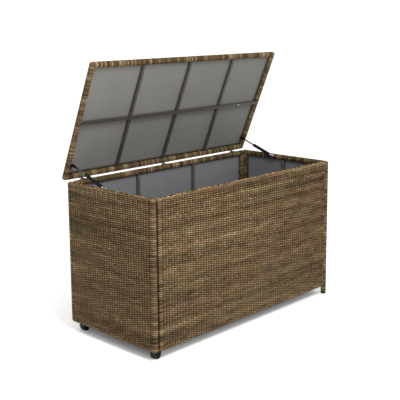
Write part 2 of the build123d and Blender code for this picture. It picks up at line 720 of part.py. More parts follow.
def make_castors():
    """Two swivelling twin-wheel castors under the left end."""
    stem_x = castor_inset_x - half_width
    axle_x = stem_x - castor_trail
    plate_bottom = base_bottom - castor_plate_thickness
    boss_top = plate_bottom - swivel_gap
    stem_bottom = boss_bottom + 1.5
    screws = []
    for name, side in (("front", -1), ("rear", 1)):
        castor_y = mid_y + side * (body_depth / 2 - castor_inset_y)
        with BuildPart() as plate:
            with Locations((stem_x, castor_y, plate_bottom + castor_plate_thickness / 2)):
                Box(castor_plate_side, castor_plate_side, castor_plate_thickness)
            fillet(plate.edges().filter_by(Axis.Z), radius=6)
            with Locations((stem_x, castor_y, plate_bottom)):
                with GridLocations(castor_screw_spacing, castor_screw_spacing, 2, 2):
                    hole_depth = 4 * castor_plate_thickness
                    Cylinder(screw_r + running_gap, hole_depth, mode=Mode.SUBTRACT)
            with BuildSketch(Plane.XY.offset(stem_bottom)):
                with Locations((stem_x, castor_y)):
                    Circle(stem_r)
            extrude(amount=plate_bottom - stem_bottom)
        write(plate.part, f"{name}_castor_plate")
        half_spacing = castor_screw_spacing / 2
        for screw_x in (-half_spacing, half_spacing):
            for screw_y in (-half_spacing, half_spacing):
                origin = (stem_x + screw_x, castor_y + screw_y, plate_bottom)
                seat = Plane(origin, x_dir=(1, 0, 0), z_dir=(0, 0, -1))
                screws.append(seated_screw(seat, castor_screw_length))
        middle = Plane(origin=(axle_x, castor_y, wheel_r), x_dir=(1, 0, 0), z_dir=(0, -1, 0))
        with BuildPart() as housing:
            with BuildSketch(middle.offset(-web_width / 2)):
                Circle(hood_r)
                with Locations((castor_trail / 2, (boss_bottom - wheel_r) / 2)):
                    Rectangle(castor_trail + 16, boss_bottom - wheel_r + 12)
                with Locations((0, web_floor - wheel_r - hood_r)):
                    Rectangle(4 * hood_r, 2 * hood_r, mode=Mode.SUBTRACT)
                Circle(axle_r, mode=Mode.SUBTRACT)
            extrude(amount=web_width)
            with BuildSketch(middle.offset(-hood_half)):
                with BuildLine():
                    outer = CenterArc((0, 0), hood_r, 20, 150)
                    inner = CenterArc((0, 0), hood_bore, 20, 150)
                    Line(outer @ 0, inner @ 0)
                    Line(outer @ 1, inner @ 1)
                make_face()
            extrude(amount=2 * hood_half)
            with Locations((stem_x, castor_y, (boss_bottom + boss_top) / 2)):
                Cylinder(2 * stem_r, boss_top - boss_bottom)
            with Locations((stem_x, castor_y, boss_bottom + 1.2 + 10)):
                Cylinder(stem_r + 0.06, 20, mode=Mode.SUBTRACT)
        write(housing.part, f"{name}_castor_housing")
        with BuildPart() as axle:
            with Locations((axle_x, castor_y, wheel_r)):
                Cylinder(axle_r, axle_length, rotation=(90, 0, 0))
            cap_y = wheel_offset + wheel_width + knuckle_gap + axle_cap_thickness / 2
            with Locations((axle_x, castor_y - cap_y, wheel_r), (axle_x, castor_y + cap_y, wheel_r)):
                Cylinder(axle_r + 2, axle_cap_thickness, rotation=(90, 0, 0))
        write(axle.part, f"{name}_castor_axle")
        outer_wheel = wheel(castor_y + side * wheel_offset, side, axle_x)
        inner_wheel = wheel(castor_y - side * wheel_offset, -side, axle_x)
        write(outer_wheel, f"{name}_castor_outer_wheel")
        write(inner_wheel, f"{name}_castor_inner_wheel")
    write(Compound(children=screws), "castor_screws")


os.makedirs("parts", exist_ok=True)
make_walls()
make_feet()
make_base()
make_panel_bolts()
make_lid()
hinge_body_seats, hinge_lid_seats = make_hinges()
strut_body_seats, strut_lid_seats = make_struts()
make_screws(hinge_body_seats + strut_body_seats, hinge_lid_seats + strut_lid_seats)
make_castors()
closed_y = hinge_y + lid_pivot_y
closed_z = hinge_z + lid_pivot_z
closed_length = hypot(closed_y - foot_pivot_y, closed_z - foot_pivot_z)
closed_slope = atan2(closed_z - foot_pivot_z, closed_y - foot_pivot_y)
print("hinge axis", hinge_y, hinge_z, "middle y", mid_y)
print("strut open", strut_length, degrees(strut_slope), "shut", closed_length, degrees(closed_slope))
print("foot pivot", strut_x, foot_pivot_y, foot_pivot_z)
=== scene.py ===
"""Looks of the woven storage box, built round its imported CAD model. Metres, +Z up, front faces -Y.

Every panel is woven from separate strands: weavers run along the panel over and under upright
stakes and turn round the side posts, and a strand is wound round each top and bottom rail.
"""

import json
from math import cos, pi, radians, sin

import bpy
import numpy as np
from mathutils import Matrix, Vector


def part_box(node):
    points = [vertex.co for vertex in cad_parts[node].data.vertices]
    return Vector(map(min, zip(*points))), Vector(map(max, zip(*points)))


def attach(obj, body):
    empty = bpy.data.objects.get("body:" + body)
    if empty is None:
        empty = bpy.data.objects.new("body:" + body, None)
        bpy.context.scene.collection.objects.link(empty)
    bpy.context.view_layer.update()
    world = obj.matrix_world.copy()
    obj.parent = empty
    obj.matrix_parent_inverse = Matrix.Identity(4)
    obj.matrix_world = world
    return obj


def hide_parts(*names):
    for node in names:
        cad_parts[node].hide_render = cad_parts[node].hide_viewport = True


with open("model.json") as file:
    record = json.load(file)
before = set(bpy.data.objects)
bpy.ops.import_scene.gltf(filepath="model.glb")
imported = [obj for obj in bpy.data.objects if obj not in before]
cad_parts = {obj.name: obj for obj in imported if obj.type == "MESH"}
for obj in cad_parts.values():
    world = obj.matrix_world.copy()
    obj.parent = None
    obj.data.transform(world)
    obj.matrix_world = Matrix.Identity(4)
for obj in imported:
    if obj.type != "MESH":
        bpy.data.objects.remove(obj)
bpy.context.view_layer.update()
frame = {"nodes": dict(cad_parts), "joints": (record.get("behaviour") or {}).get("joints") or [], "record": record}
rng = np.random.default_rng(20)

# Sizes shared with the CAD model
wrap_r = 0.018
lid_width = 1.655
lid_depth = 0.783
hinge_behind = 0.0108
hinge_below = 0.0065
lid_closed_gap = 0.0015
foot_height = 0.020
liner_edge = 0.0326
liner_z = 0.0114

# The weave
strand_pitch = 0.00555
strand_half = 0.0026
stake_spacing = 0.0216
field_z = 0.0152
weave_depth = 0.0021
swell = 0.24  # how much a strand spreads where it lies outside a stake
weaver_painted_shade = 0.76  # painted shade of a weaver half way between its outermost and innermost places
ring_r = 0.01695
rail_rows_end = radians(62)  # how far round a rail the weavers go before the winding takes over
rail_rows_start = radians(26)
rim_painted_shade_share = 0.55  # how much of the painted shade stays in the rows that lie on a top rail, so they are painted lighter
steps_per_stake = 4
wound_angles = np.radians(np.arange(90, -211, -25.0))  # a weaver's end, wound round a post
wound_points = len(wound_angles) + 2  # with the two points that lead on to the post
post_blend = 0.006  # a weaver settles on the post within this distance of the field's edge
post_level = 0.0155
post_lead = np.array([(0.007, 0.0160), (0.0125, 0.0167)])  # past the field's edge, and outwards
leg_rail_end = 0.003  # past the field's edge, where a weaver on a bottom rail meets a leg
rail_end = 0.009
groove_middle = radians(-5)  # where painted shade goes on the weavers in the groove beside a tucked post, as an angle round it
groove_half = radians(60)
groove_painted_shade = 0.6
# the darkest painted shade a weaver may get
deepest_painted_shade = 0.93

# Tones run from 0, dark, to 1, light; hues run from 0, warm, to 1, olive
field_tone = 0.52
wound_tone_spread = 0.13
turn_tones = np.array([0.22, 0.46, 0.78])  # the three strand colours of the windings
turn_shares = [0.34, 0.36, 0.30]
strand_profile = np.array(
    [
        (-1.0, -0.0007),
        (-0.93, 0.0000),
        (-0.55, 0.0008),
        (0.0, 0.0012),
        (0.55, 0.0008),
        (0.93, 0.0000),
        (1.0, -0.0007),
    ]
)
stake_profile = np.array(
    [(-0.0016, 0.0), (-0.001, 0.0008), (0.001, 0.0008), (0.0016, 0.0), (0.001, -0.0008), (-0.001, -0.0008)]
)


class Panel:
    """One flat panel: its place, its directions, its size, and the body it moves with."""

    def __init__(self, name, body, origin, along, up, width, height):
        self.name = name
        self.body = body
        self.origin = np.array(origin)
        self.along = np.array(along)
        self.up = np.array(up)
        self.out = np.cross(self.along, self.up)
        self.width = width
        self.height = height
        self.post = width / 2 - wrap_r
        self.field = self.post - wrap_r
        self.stakes = round(2 * self.field / stake_spacing)
        self.stake_step = 2 * self.field / self.stakes
        self.tucked = name in ("front", "back")  # its posts stand between its neighbours' posts

    def place(self, points):
        """Panel coordinates (along, up, out) to the row frame."""
        turn = np.array([self.along, self.up, self.out])
        return self.origin + points @ turn


def wall_panels():
    """The four walls, placed from the boxes of their CAD weaves."""
    front_low, front_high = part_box("front_weave")
    back_low, back_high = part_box("back_weave")
    left_low, left_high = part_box("left_weave")
    right_low, right_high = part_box("right_weave")
    middle_y = (left_low.y + left_high.y) / 2
    base_z = front_low.z
    height = front_high.z - front_low.z
    wide = front_high.x - front_low.x
    deep = left_high.y - left_low.y
    up = (0, 0, 1)
    return [
        Panel("front", "box", (0, front_low.y + wrap_r, base_z), (1, 0, 0), up, wide, height),
        Panel("back", "box", (0, back_high.y - wrap_r, base_z), (-1, 0, 0), up, wide, height),
        Panel("left", "box", (left_low.x + wrap_r, middle_y, base_z), (0, -1, 0), up, deep, height),
        Panel("right", "box", (right_high.x - wrap_r, middle_y, base_z), (0, 1, 0), up, deep, height),
    ]


def lid_panel():
    """The lid, placed from its hinge: along X, and up from its front edge to the hinge."""
    hinge = next(joint for joint in frame["joints"] if joint["name"] == "lid_hinge")
    opening = radians(hinge["range_deg"][1])
    up = np.array([0, cos(opening), -sin(opening)])
    out = np.array([0, sin(opening), cos(opening)])
    overhang = (lid_depth - (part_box("left_weave")[1].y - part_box("left_weave")[0].y)) / 2
    front_edge = overhang - hinge_behind - lid_depth
    height = lid_closed_gap + wrap_r + hinge_below
    origin = np.array(hinge["pos_m"]) + front_edge * up + height * out
    return Panel("lid", "lid", origin, (1, 0, 0), up, lid_width, lid_depth)


def wander(count, length, size):
    """A smooth random line of that many values: size is its spread and length its wave in values."""
    knots = rng.normal(0, size, int(count / length) + 4)
    return np.interp(np.arange(count) / length + rng.random(), np.arange(len(knots)), knots)


class Strands:
    """Collects ribbons swept along paths, and makes them into one mesh."""

    def __init__(self):
        self.vertices = []
        self.quads = []
        self.caps = []
        self.tones = []
        self.grains = []
        self.count = 0
        self.made = 0

    def add(self, centres, across, outward, profile, tone, hue, painted_shade):
        """One ribbon. profile holds offsets across it and outwards; the last argument is the shade painted on it,
        from 0, painted light, to 1, dark.
        """
        steps = len(centres)
        points = len(profile)
        width = profile[:, 0][None, :, None]
        rise = profile[:, 1][None, :, None]
        ribbon = centres[:, None, :] + across[:, None, :] * width + outward[:, None, :] * rise
        index = self.count + np.arange(steps * points).reshape(steps, points)
        turned = np.roll(index, -1, axis=1)
        quads = np.stack([index[:-1], index[1:], turned[1:], turned[:-1]], axis=-1)
        self.quads.append(quads.reshape(-1, 4))
        self.caps.append(index[0])
        self.caps.append(index[-1][::-1])
        self.vertices.append(ribbon.reshape(-1, 3))
        run = np.concatenate([[0], np.cumsum(np.linalg.norm(np.diff(centres, axis=0), axis=1))])
        grain = np.zeros((steps, points, 3))
        grain[..., 0] = run[:, None]
        grain[..., 1] = profile[:, 0][None, :]
        grain[..., 2] = self.made * 0.37
        colour = np.zeros((steps, points, 3))
        colour[..., 0] = np.asarray(tone).reshape(-1, 1)
        colour[..., 1] = np.asarray(hue).reshape(-1, 1)
        # The third channel is painted shade: the given shade, with painted shade added at the strand's edges where
        # it meets its neighbours.
        edge = np.abs(profile[:, 0] / np.abs(profile[:, 0]).max()) ** 3
        colour[..., 2] = np.clip(np.asarray(painted_shade).reshape(-1, 1) + 0.4 * edge[None, :], 0, 1)
        self.grains.append(grain.reshape(-1, 3))
        self.tones.append(colour.reshape(-1, 3))
        self.count += steps * points
        self.made += 1

    def build(self, name, body, material):
        """The mesh object of all the ribbons so far, riding on its body."""
        vertices = np.concatenate(self.vertices)
        quads = np.concatenate(self.quads)
        cap_loops = np.concatenate(self.caps)
        cap_sizes = np.array([len(cap) for cap in self.caps])
        loops = np.concatenate([quads.ravel(), cap_loops])
        sizes = np.concatenate([np.full(len(quads), 4), cap_sizes])
        starts = np.concatenate([[0], np.cumsum(sizes)[:-1]])
        mesh = bpy.data.meshes.new(name)
        mesh.vertices.add(len(vertices))
        mesh.vertices.foreach_set("co", vertices.astype(np.float32).ravel())
        mesh.loops.add(len(loops))
        mesh.loops.foreach_set("vertex_index", loops.astype(np.int32))
        mesh.polygons.add(len(sizes))
        mesh.polygons.foreach_set("loop_start", starts.astype(np.int32))
        mesh.polygons.foreach_set("loop_total", sizes.astype(np.int32))
        mesh.polygons.foreach_set("use_smooth", np.ones(len(sizes), bool))
        mesh.update(calc_edges=True)
        for title, rows in (("tone", self.tones), ("grain", self.grains)):
            layer = mesh.attributes.new(title, "FLOAT_VECTOR", "POINT")
            layer.data.foreach_set("vector", np.concatenate(rows).astype(np.float32).ravel())
        mesh.materials.append(material)
        return link(name, mesh, body)


def link(name, mesh, body):
    """Puts a mesh in the scene as a piece that rides on a body."""
    piece = bpy.data.objects.new(name, mesh)
    bpy.context.scene.collection.objects.link(piece)
    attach(piece, body)
    return piece


# ---------------------------------------------------------------- materials


def new_material(name):
    """An empty node material with its shader, and short ways to add nodes to it."""
    material = bpy.data.materials.new(name)
    material.use_nodes = True
    nodes = material.node_tree.nodes
    shader = next(node for node in nodes if node.type == "BSDF_PRINCIPLED")
    return material, nodes, material.node_tree.links, shader


def ramp(nodes, stops):
    """A colour ramp from (place, colour) stops."""
    node = nodes.new("ShaderNodeValToRGB")
    elements = node.color_ramp.elements
    while len(elements) < len(stops):
        elements.new(0.5)
    for element, (place, colour) in zip(elements, stops):
        element.position = place
        element.color = (*colour, 1)
    return node


def noise(nodes, links, vector, scale, detail=2.0, stretch=None):
    """A noise texture, on a vector output that may be stretched."""
    node = nodes.new("ShaderNodeTexNoise")
    node.inputs["Scale"].default_value = scale
    node.inputs["Detail"].default_value = detail
    if stretch is not None:
        mapping = nodes.new("ShaderNodeMapping")
        mapping.inputs["Scale"].default_value = stretch
        links.new(vector, mapping.inputs["Vector"])
        vector = mapping.outputs["Vector"]
    links.new(vector, node.inputs["Vector"])
    return node


def bump(nodes, links, shader, height, strength, distance):
    """Feeds a height into the shader's normal."""
    node = nodes.new("ShaderNodeBump")
    node.inputs["Strength"].default_value = strength
    node.inputs["Distance"].default_value = distance
    links.new(height, node.inputs["Height"])
    links.new(node.outputs["Normal"], shader.inputs["Normal"])


def spread(nodes, links, value, low, high):
    """A map from a 0 to 1 value to a range."""
    node = nodes.new("ShaderNodeMapRange")
    node.inputs["To Min"].default_value = low
    node.inputs["To Max"].default_value = high
    links.new(value, node.inputs["Value"])
    return node.outputs["Result"]


def multiply(nodes, links, colour, factor):
    """A colour scaled by a value."""
    node = nodes.new("ShaderNodeVectorMath")
    node.operation = "SCALE"
    links.new(colour, node.inputs[0])
    links.new(factor, node.inputs["Scale"])
    return node.outputs["Vector"]


def wicker_material():
    """Extruded strand in mixed browns: colour from each strand's tone, painted lighter or darker by the painted
    shade in its third tone channel, fine grooves along it.
    """
    material, nodes, links, shader = new_material("wicker")
    tone = nodes.new("ShaderNodeAttribute")
    tone.attribute_name = "tone"
    parts = nodes.new("ShaderNodeSeparateXYZ")
    links.new(tone.outputs["Vector"], parts.inputs["Vector"])
    grain = nodes.new("ShaderNodeAttribute")
    grain.attribute_name = "grain"
    warm = ramp(
        nodes,
        [
            (0.0, (0.013, 0.007, 0.003)),
            (0.35, (0.045, 0.025, 0.011)),
            (0.65, (0.097, 0.058, 0.027)),
            (1.0, (0.188, 0.128, 0.070)),
        ],
    )
    olive = ramp(
        nodes,
        [
            (0.0, (0.011, 0.007, 0.003)),
            (0.35, (0.041, 0.029, 0.012)),
            (0.65, (0.089, 0.065, 0.030)),
            (1.0, (0.175, 0.136, 0.074)),
        ],
    )
    streaks = noise(nodes, links, grain.outputs["Vector"], 1.0, 3.0, (9.0, 1500.0, 1.0))
    blotches = noise(nodes, links, grain.outputs["Vector"], 1.0, 2.0, (38.0, 60.0, 1.0))
    for chart in (warm, olive):
        links.new(parts.outputs["X"], chart.inputs["Fac"])
    mix = nodes.new("ShaderNodeMix")
    mix.data_type = "RGBA"
    links.new(parts.outputs["Y"], mix.inputs["Factor"])
    links.new(warm.outputs["Color"], mix.inputs["A"])
    links.new(olive.outputs["Color"], mix.inputs["B"])
    streaked = multiply(
        nodes, links, mix.outputs["Result"], spread(nodes, links, streaks.outputs["Fac"], 0.70, 1.30)
    )
    blotched = multiply(
        nodes, links, streaked, spread(nodes, links, blotches.outputs["Fac"], 0.80, 1.20)
    )
    # Painted light and shade: the colour is scaled up to 2.5 times where the third tone channel is 0, and down to
    # black where it is 1.
    painted_shade_colour = multiply(nodes, links, blotched, spread(nodes, links, parts.outputs["Z"], 2.5, 0.0))
    links.new(painted_shade_colour, shader.inputs["Base Color"])
    links.new(spread(nodes, links, streaks.outputs["Fac"], 0.42, 0.62), shader.inputs["Roughness"])
    shader.inputs["Specular IOR Level"].default_value = 0.06
    bump(nodes, links, shader, streaks.outputs["Fac"], 0.35, 0.0004)
    return material


def cloth_material(name, colour, painted_fold_light):
    """Plain-woven polyester: a fine thread grid, clouded lighter and darker by a share as painted light and shade
    of the cloth's folds.
    """
    material, nodes, links, shader = new_material(name)
    place = nodes.new("ShaderNodeTexCoord").outputs["Object"]
    clouds = noise(nodes, links, place, 6.0, 3.0)
    warp = nodes.new("ShaderNodeTexWave")
    warp.wave_type = "BANDS"
    warp.bands_direction = "X"
    warp.inputs["Scale"].default_value = 260.0
    warp.inputs["Distortion"].default_value = 0.6
    weft = nodes.new("ShaderNodeTexWave")
    weft.wave_type = "BANDS"
    weft.bands_direction = "Z"
    weft.inputs["Scale"].default_value = 260.0
    weft.inputs["Distortion"].default_value = 0.6
    for wave in (warp, weft):
        links.new(place, wave.inputs["Vector"])
    threads = nodes.new("ShaderNodeMath")
    threads.operation = "MULTIPLY"
    links.new(warp.outputs["Fac"], threads.inputs[0])
    links.new(weft.outputs["Fac"], threads.inputs[1])
    # Painted light and shade of folds: the colour is clouded lighter and darker.
    dark = tuple(channel * (1 - painted_fold_light) for channel in colour)
    light = tuple(channel * (1 + painted_fold_light) for channel in colour)
    chart = ramp(nodes, [(0.3, dark), (0.7, light)])
    links.new(clouds.outputs["Fac"], chart.inputs["Fac"])
    lit = multiply(
        nodes, links, chart.outputs["Color"], spread(nodes, links, threads.outputs["Value"], 0.88, 1.12)
    )
    links.new(lit, shader.inputs["Base Color"])
    links.new(spread(nodes, links, clouds.outputs["Fac"], 0.72, 0.88), shader.inputs["Roughness"])
    shader.inputs["Specular IOR Level"].default_value = 0.25
    bump(nodes, links, shader, threads.outputs["Value"], 0.25, 0.0003)
    return material


def hard_material(name, dark, light, metallic, roughness, grain_scale, specular=0.4):
    """Metal or moulded plastic: a mottled colour, uneven gloss and a fine surface grain."""
    material, nodes, links, shader = new_material(name)
    place = nodes.new("ShaderNodeTexCoord").outputs["Object"]
    mottle = noise(nodes, links, place, 25.0, 4.0)
    fine = noise(nodes, links, place, grain_scale, 3.0)
    chart = ramp(nodes, [(0.32, dark), (0.68, light)])
    links.new(mottle.outputs["Fac"], chart.inputs["Fac"])
    links.new(chart.outputs["Color"], shader.inputs["Base Color"])
    low, high = roughness
    links.new(spread(nodes, links, fine.outputs["Fac"], low, high), shader.inputs["Roughness"])
    shader.inputs["Metallic"].default_value = metallic
    shader.inputs["Specular IOR Level"].default_value = specular
    bump(nodes, links, shader, fine.outputs["Fac"], 0.2, 0.0003)
    return material


def grey(value):
    """A neutral colour."""
    return (value, value, value)


wicker = wicker_material()
lid_cloth = cloth_material("lid_liner_cloth", (0.121, 0.118, 0.108), 0.05)
wall_cloth = cloth_material("wall_liner_cloth", (0.130, 0.129, 0.136), 0.05)
coated = hard_material("coated_tube", (0.028, 0.024, 0.020), (0.045, 0.039, 0.033), 0.0, (0.42, 0.58), 700)
# A darker copy of the tube coating: painted shade on the lid's bars.
bar_coat_painted_shade = hard_material("bar_coat_painted_shade", (0.024, 0.021, 0.017), (0.039, 0.034, 0.028), 0.0, (0.42, 0.58), 700)
# A lighter copy of the tube coating: painted light on the wall frames' uprights.
upright_coat_painted_light = hard_material(
    "upright_coat_painted_light", (0.048, 0.044, 0.036), (0.070, 0.064, 0.053), 0.0, (0.42, 0.58), 700
)
board = hard_material("base_board", grey(0.030), grey(0.045), 0.0, (0.6, 0.8), 400, 0.2)
plastic = hard_material("black_plastic", grey(0.006), (0.012, 0.011, 0.010), 0.0, (0.35, 0.5), 900, 0.2)
steel = hard_material("black_steel", grey(0.003), grey(0.006), 0.0, (0.35, 0.5), 900, 0.12)
zinc = hard_material("zinc_steel", grey(0.36), grey(0.52), 1.0, (0.25, 0.45), 1200)
bronze = hard_material("bronze_strap", (0.045, 0.030, 0.020), (0.085, 0.058, 0.038), 0.4, (0.35, 0.5), 900)
chrome = hard_material("rod_chrome", grey(0.08), grey(0.13), 1.0, (0.18, 0.3), 1500)
bright = hard_material("bright_screw", grey(0.80), grey(0.92), 1.0, (0.3, 0.45), 1200)
rubber = hard_material("castor_tread", grey(0.007), (0.013, 0.012, 0.011), 0.0, (0.55, 0.75), 600, 0.2)


def paint(node, material):
    """Gives a CAD node its material without touching its mesh."""
    piece = frame["nodes"][node]
    for slot in piece.material_slots:
        slot.link = "OBJECT"
        slot.material = material


def paint_cad():
    """Materials of the CAD nodes that stay in view."""
    record_slots = {
        "coated_tube": coated,
        "base_board": board,
        "black_plastic": plastic,
        "black_steel": steel,
        "zinc_steel": zinc,
        "bronze_strap": bronze,
        "rod_chrome": chrome,
        "wicker": wicker,
        "liner_cloth": lid_cloth,
    }
    for part in frame["record"]["subparts"]:
        paint(part["node"], record_slots[part["material_slot"]])
    for name in frame["nodes"]:
        if name.endswith("_wheel"):
            paint(name, rubber)
        if name.endswith("_axle") or name.endswith("_rod_fitting"):
            paint(name, steel)
        if name.endswith("_bar") or name.endswith("_bars"):
            paint(name, bar_coat_painted_shade)
    for name in ("front_frame", "back_frame", "left_frame", "right_frame"):
        paint(name, upright_coat_painted_light)
    paint("lid_screws", bright)


# ---------------------------------------------------------------- woven panels


def weave_section(panel, share):
    """Where a weaver lies in the panel's section: its height, its distance out and its tilt.

    The section runs round the outside of the bottom rail, up the face, and round the top rail.
    """
    arc = (rail_rows_start + rail_rows_end) * ring_r
    turn_y = wrap_r + ring_r * sin(rail_rows_start)
    face = panel.height - 2 * turn_y
    run = share * (face + 2 * arc)
    if run < arc:
        tilt = run / ring_r - rail_rows_end
        return wrap_r + ring_r * sin(tilt), ring_r * cos(tilt), tilt
    if run > arc + face:
        tilt = rail_rows_end - (face + 2 * arc - run) / ring_r
        return panel.height - wrap_r + ring_r * sin(tilt), ring_r * cos(tilt), tilt
    return turn_y + run - arc, field_z, 0.0


def weaver_wave(panel, x, sign):
    """How far out of the middle a weaver lies at x, from -1 behind a stake to 1 in front of one."""
    wave = np.cos(pi * ((x + panel.field) / panel.stake_step - 0.5))
    return sign * np.sign(wave) * np.abs(wave) ** 0.8


def weaver(panel, share, sign, leg_low):
    """Centres, across and outward directions and painted shade of one weaver.

    On the face it turns round both posts; where it lies on a rail it stops inside the corner.
    """
    row_y, row_z, tilt = weave_section(panel, share)
    x = np.linspace(-panel.field, panel.field, panel.stakes * steps_per_stake + 1)
    wave = weaver_wave(panel, x, sign)
    depth = weave_depth * (1 + rng.normal(0, 0.06)) * (1.0 if tilt == 0 else 0.2)
    level = row_z / cos(tilt) + depth * wave
    near_post = np.clip((np.abs(x) - panel.field + post_blend) / (2 * post_blend), 0, 1)
    round_post = abs(tilt) <= rail_rows_start
    if round_post:
        level = level * (1 - near_post) + np.maximum(level, post_level) * near_post
        lead = post_lead + (panel.field, 0)
        circle_x = panel.post + ring_r * np.cos(wound_angles)
        circle = np.stack([circle_x, ring_r * np.sin(wound_angles)], axis=1)
        ends = np.concatenate([lead, circle])
    elif leg_low is not None and tilt < 0:
        ends = np.array([(panel.field + leg_rail_end, level[0])])
    else:
        ends = np.array([(panel.field + rail_end, level[0]), (panel.post, level[0])])
    flat = np.concatenate([(ends * (-1, 1))[::-1], np.stack([x, level], axis=1), ends])
    tangent = np.gradient(flat, axis=0)
    tangent /= np.linalg.norm(tangent, axis=1)[:, None]
    middle = slice(len(ends), -len(ends))
    waves = np.zeros(len(flat))
    waves[middle] = wave * (1 - near_post)
    tilts = np.full(len(flat), tilt)
    # Painted shade: darker where the weaver passes behind a stake, lighter where it passes in front, and every
    # other row darker on the posts.
    painted_shade = np.full(len(flat), 0.4 - 0.3 * sign)
    painted_shade[middle] = weaver_painted_shade * (1 - np.sign(waves[middle]) * np.abs(waves[middle]) ** 0.5)
    if round_post:
        tilts[: len(ends)] = 0
        tilts[-len(ends) :] = 0
        # Painted shade where the wound ends lie in the groove beside the post.
        if panel.tucked:
            in_groove = np.abs(wound_angles - groove_middle) < groove_half
            groove_painted_mask = np.concatenate([np.zeros(len(lead)), in_groove])
            painted_shade[: len(ends)] += groove_painted_shade * groove_painted_mask[::-1]
            painted_shade[-len(ends) :] += groove_painted_shade * groove_painted_mask
    # The rows on a top rail are painted lighter, keeping only part of their painted shade.
    if tilt > rail_rows_start:
        painted_shade *= rim_painted_shade_share
    rise = row_y + wander(len(flat), 26, 0.00018)
    centres = np.stack([flat[:, 0], rise, flat[:, 1] * np.cos(tilts)], axis=1)
    outward = np.stack(
        [-tangent[:, 1], tangent[:, 0] * np.sin(tilts), tangent[:, 0] * np.cos(tilts)], axis=1
    )
    across = np.stack([np.zeros(len(flat)), np.cos(tilts), -np.sin(tilts)], axis=1)
    across *= (1 + swell * waves)[:, None]
    return centres, across, outward, np.clip(painted_shade, 0, deepest_painted_shade)


def circle_path(centre_x, centre_y, towards, start, end, steps, radius):
    """Part of a ring round a rim tube, in the plane of the panel's normal and a direction."""
    turn = np.radians(np.linspace(start, end, steps))
    level = radius * np.cos(turn)
    centres = np.stack(
        [centre_x + towards[0] * level, centre_y + towards[1] * level, radius * np.sin(turn)], axis=1
    )
    outward = np.stack([towards[0] * np.cos(turn), towards[1] * np.cos(turn), np.sin(turn)], axis=1)
    return centres, outward


def strand_shape(half_width):
    """The strand's section at a half width."""
    return strand_profile * np.array([half_width, 1.0])


def add_strand(strands, panel, centres, across, outward, profile, tone, hue, painted_shade=0.0):
    """Adds a strand given in panel coordinates."""
    turn = np.array([panel.along, panel.up, panel.out])
    strands.add(panel.place(centres), across @ turn, outward @ turn, profile, tone, hue, painted_shade)


def cloudy(rows, columns, row_run, column_run, size):
    """A smooth random sheet of values, with patches that many rows high and columns long."""
    knots = rng.normal(0, size, (int(rows / row_run) + 3, int(columns / column_run) + 3))
    place = np.arange(columns) / column_run
    along = np.array([np.interp(place, np.arange(knots.shape[1]), line) for line in knots])
    height = np.arange(rows) / row_run + rng.random()
    low = height.astype(int)
    part = (height - low)[:, None]
    return along[low] * (1 - part) + along[low + 1] * part


def weave_field(panel, leg_low):
    """The weavers in bands small enough to export whole."""
    run = panel.height - 4 * wrap_r + 2 * (rail_rows_start + rail_rows_end) * ring_r
    row_count = 2 * round(run / strand_pitch / 2)
    steps = panel.stakes * steps_per_stake + 1 + 2 * wound_points
    tones = field_tone + cloudy(row_count, steps, 2.0, 9, 0.09) + cloudy(row_count, steps, 6.0, 150, 0.10)
    tones += rng.normal(0, 0.05, (row_count, 1))
    hues = 0.5 + cloudy(row_count, steps, 2.5, 14, 0.30) + cloudy(row_count, steps, 9.0, 90, 0.15)
    bands = 5 if panel.width > 1 else 3
    for band in range(bands):
        strands = Strands()
        first = band * row_count // bands
        last = (band + 1) * row_count // bands
        for row in range(first, last):
            share = (row + 0.5) / row_count
            centres, across, outward, painted_shade = weaver(panel, share, 1 if row % 2 else -1, leg_low)
            count = len(centres)
            tone = tones[row, :count] + wander(count, 3, 0.06)
            wound = (count - panel.stakes * steps_per_stake - 1) // 2
            tone[:wound] += rng.normal(0, wound_tone_spread)
            tone[-wound:] += rng.normal(0, wound_tone_spread)
            tone = np.clip(tone, 0, 1)
            hue = np.clip(hues[row, :count], 0, 1)
            shape = strand_shape(strand_half * (1 + rng.normal(0, 0.02)))
            add_strand(strands, panel, centres, across, outward, shape, tone, hue, painted_shade)
        piece = strands.build(f"{panel.name}_weavers_{band + 1}", panel.body, wicker)
        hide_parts(f"{panel.name}_weave")


def add_stakes(strands, panel):
    """The upright stakes that the weavers pass."""
    y = np.linspace(2 * wrap_r - 0.002, panel.height - 2 * wrap_r + 0.002, 12)
    for stake in range(panel.stakes):
        x = -panel.field + (stake + 0.5) * panel.stake_step
        centres = np.stack([x + wander(12, 4, 0.0002), y, np.full(12, field_z)], axis=1)
        across = np.tile([1.0, 0.0, 0.0], (12, 1))
        outward = np.tile([0.0, 0.0, 1.0], (12, 1))
        tone = np.full(12, rng.uniform(0.0, 0.08))
        # The fixed 0.3 is painted shade on the stakes.
        add_strand(strands, panel, centres, across, outward, stake_profile, tone, 0.5, 0.3)


def add_rail_wrap(strands, panel, rail_y, towards):
    """The strand wound over the rest of a top or bottom rail, one turn after another."""
    rings = round(2 * panel.post / strand_pitch)
    pitch = 2 * panel.post / rings
    tones = mixed_tones(rings, 2.0)
    hues = np.clip(0.45 + wander(rings, 4, 0.35), 0, 1)
    start = 90 - np.degrees(rail_rows_end) + 12
    for ring in range(rings):
        x = -panel.post + (ring + 0.5) * pitch
        radius = ring_r + rng.uniform(0.0, 0.0002)
        centres, outward = circle_path(x, rail_y, (0, towards), start, -215, 13, radius)
        lean = np.linspace(-0.3, 0.3, 13) * pitch
        centres[:, 0] += lean + rng.normal(0, 0.0002)
        across = np.tile([-1.0 * towards, 0.0, 0.0], (13, 1))
        shape = strand_shape(strand_half * rng.uniform(0.92, 1.0))
        # Painted shade: every other turn is painted darker.
        painted_shade = 0.2 + 0.35 * (ring % 2)
        add_strand(strands, panel, centres, across, outward, shape, tones[ring], hues[ring], painted_shade)


